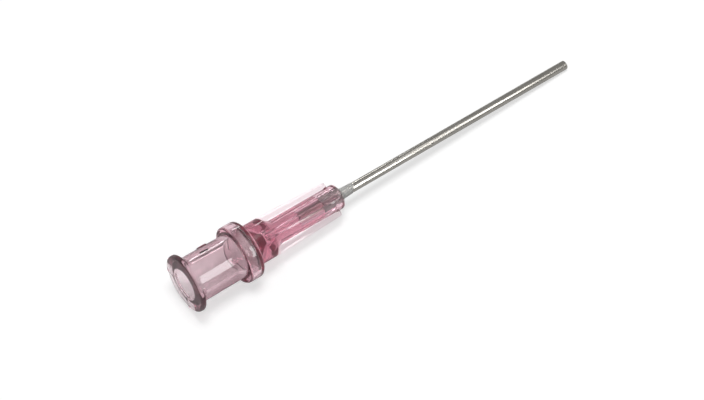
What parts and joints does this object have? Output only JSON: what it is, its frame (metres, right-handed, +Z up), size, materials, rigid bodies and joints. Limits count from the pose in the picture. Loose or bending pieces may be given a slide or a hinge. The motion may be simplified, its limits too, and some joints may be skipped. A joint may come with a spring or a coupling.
{
  "type": "blunt filter needle",
  "caption": "Blunt steel cannula bonded into a ribbed, tinted clear hub with a collar round a welded filter disc and a tapered socket with locking lugs.",
  "frame": {"origin": "on the table under the middle of the needle's bounding box", "axes": "+X along the table from the socket's mouth towards the tip, +Z up"},
  "size_m": [0.0634, 0.008, 0.0083],
  "materials": {
    "rear_moulding": "polished clear, rose-purple tint",
    "front_moulding": "polished clear, rose-purple tint",
    "steel": "drawn tube, fine lines along its length",
    "adhesive": "cured resin, cloudy",
    "filter": "matt porous membrane"
  },
  "bodies": {
    "root": {"rear_hub": "rear_moulding", "filter_disc": "filter", "front_hub": "front_moulding", "cannula": "steel", "adhesive_bead": "adhesive"}
  },
  "joints": []
}
